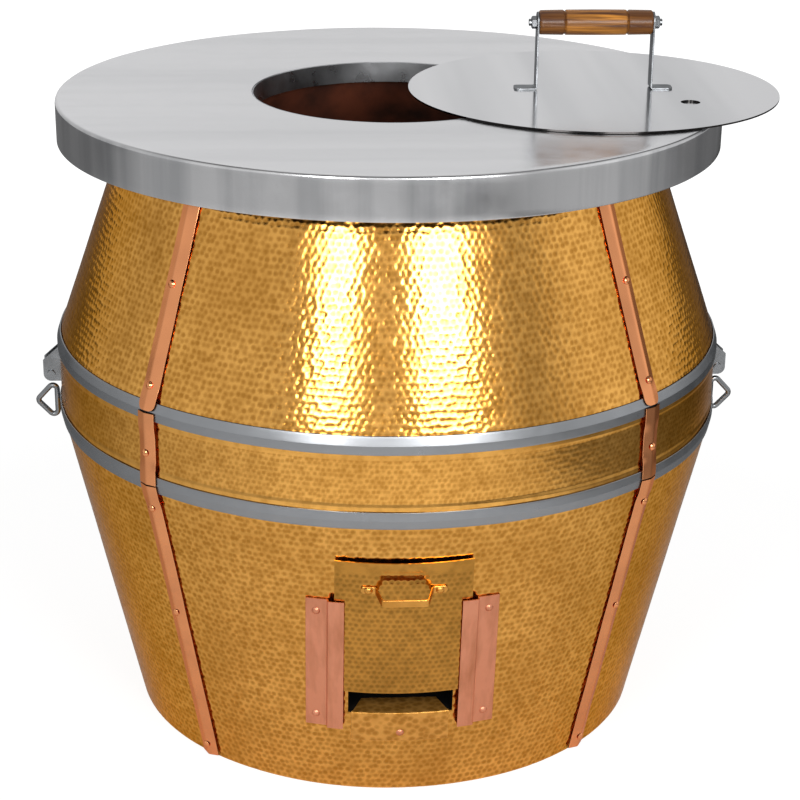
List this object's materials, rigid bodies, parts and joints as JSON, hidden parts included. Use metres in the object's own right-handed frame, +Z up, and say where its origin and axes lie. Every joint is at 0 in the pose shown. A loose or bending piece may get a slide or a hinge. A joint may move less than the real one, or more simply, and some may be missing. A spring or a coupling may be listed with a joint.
{
  "type": "clay tandoor oven",
  "caption": "Free-standing clay tandoor in a hammered brass barrel with copper straps, a round steel worktop, a flat lid with a wooden grip, and a sliding ash door.",
  "frame": {"origin": "on the floor, on the axis of the barrel", "axes": "+Z up; the ash door faces -Y; +X to the right of someone who faces the door, where the lid lies"},
  "size_m": [0.8716, 0.7889, 0.8288],
  "materials": {
    "hammered_brass": "hammered, polished",
    "plain_brass": "rolled",
    "copper": "rolled",
    "stainless_steel": "brushed",
    "bright_steel": "polished",
    "mild_steel": "heat-proof black",
    "cast_iron": "as cast",
    "fired_clay": "unglazed",
    "fire_brick": "fired",
    "mineral_wool": "loose",
    "ceramic_rope": "braided",
    "turned_wood": "varnished"
  },
  "bodies": {
    "oven": {"base_plate": "mild_steel", "base_ring": "mild_steel", "lower_shell": "hammered_brass", "belt": "hammered_brass", "upper_shell": "hammered_brass", "lower_hoop": "stainless_steel", "upper_hoop": "stainless_steel", "upper_strap_1": "copper", "upper_strap_2": "copper", "upper_strap_3": "copper", "upper_strap_4": "copper", "belt_strap_1": "copper", "belt_strap_2": "copper", "belt_strap_3": "copper", "belt_strap_4": "copper", "lower_strap_1": "copper", "lower_strap_2": "copper", "lower_strap_3": "copper", "lower_strap_4": "copper", "strap_rivets": "copper", "worktop": "stainless_steel", "deck_plate": "mild_steel", "deck_gussets": "mild_steel", "mouth_collar": "stainless_steel", "mouth_seal": "ceramic_rope", "clay_pot_base": "fired_clay", "clay_pot_belly": "fired_clay", "clay_pot_shoulder": "fired_clay", "hearth_slab": "fire_brick", "charcoal_grate": "cast_iron", "grate_feet": "cast_iron", "insulation_lower": "mineral_wool", "insulation_upper": "mineral_wool", "ash_duct": "mild_steel", "ash_sill": "plain_brass", "door_rail_left": "copper", "door_rail_right": "copper", "door_rivets": "copper", "lug_left": "bright_steel", "lug_right": "bright_steel", "lug_pin_left": "bright_steel", "lug_pin_right": "bright_steel"},
    "lid": {"lid_plate": "stainless_steel", "lid_bracket_left": "stainless_steel", "lid_bracket_right": "stainless_steel", "grip_rod": "bright_steel", "grip_nuts": "bright_steel"},
    "grip": {"wooden_grip": "turned_wood"},
    "ash_door": {"ash_door": "hammered_brass", "door_pull": "plain_brass", "door_pull_rivets": "plain_brass"},
    "ring_left": {"lifting_ring_left": "bright_steel"},
    "ring_right": {"lifting_ring_right": "bright_steel"}
  },
  "joints": [
    {"name": "lid_slide", "type": "slide", "parent": "oven", "child": "lid", "axis": [1, 0, 0], "range_m": [-0.235, 0.135]},
    {"name": "grip_turn", "type": "hinge", "parent": "lid", "child": "grip", "pos_m": [0.235, 0, 0.8143], "axis": [1, 0, 0], "continuous": true},
    {"name": "ash_door_slide", "type": "slide", "parent": "oven", "child": "ash_door", "axis": [0, -0.2189, 0.9757], "range_m": [-0.0525, 0.08]},
    {"name": "ring_left_swing", "type": "hinge", "parent": "oven", "child": "ring_left", "pos_m": [-0.4012, 0, 0.397], "axis": [0, 1, 0], "range_deg": [-1.5, 100]},
    {"name": "ring_right_swing", "type": "hinge", "parent": "oven", "child": "ring_right", "pos_m": [0.4012, 0, 0.397], "axis": [0, -1, 0], "range_deg": [-1.5, 100]}
  ]
}
